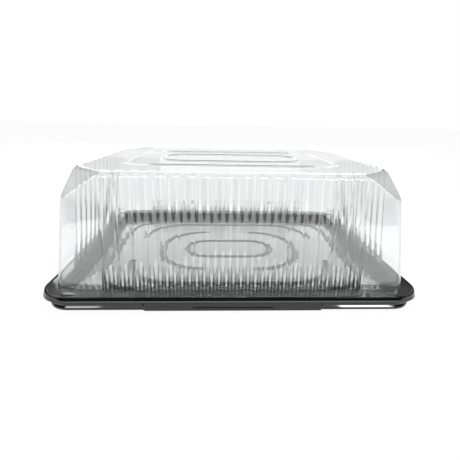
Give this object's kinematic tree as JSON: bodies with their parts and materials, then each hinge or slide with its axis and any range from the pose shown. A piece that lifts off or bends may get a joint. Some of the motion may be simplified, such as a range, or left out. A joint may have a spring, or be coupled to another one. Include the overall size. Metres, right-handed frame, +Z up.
{
  "type": "cake container",
  "caption": "Rectangular cake container: a clear fluted lid with cut top corners seats on a shallow black tray with a raised, ring-pressed floor, and lifts straight off.",
  "frame": {"origin": "middle of the surface that the tray stands on", "axes": "+X along the long side, +Y to the back, +Z up"},
  "size_m": [0.373, 0.293, 0.1289],
  "materials": {
    "black_plastic": "glossy black formed sheet",
    "clear_plastic": "clear glossy formed sheet"
  },
  "bodies": {
    "tray": {"base_tray": "black_plastic"},
    "lid": {"dome_lid": "clear_plastic"}
  },
  "joints": [
    {"name": "lid_lift", "type": "slide", "parent": "tray", "child": "lid", "axis": [0, 0, 1], "range_m": [0, 0.16]}
  ]
}
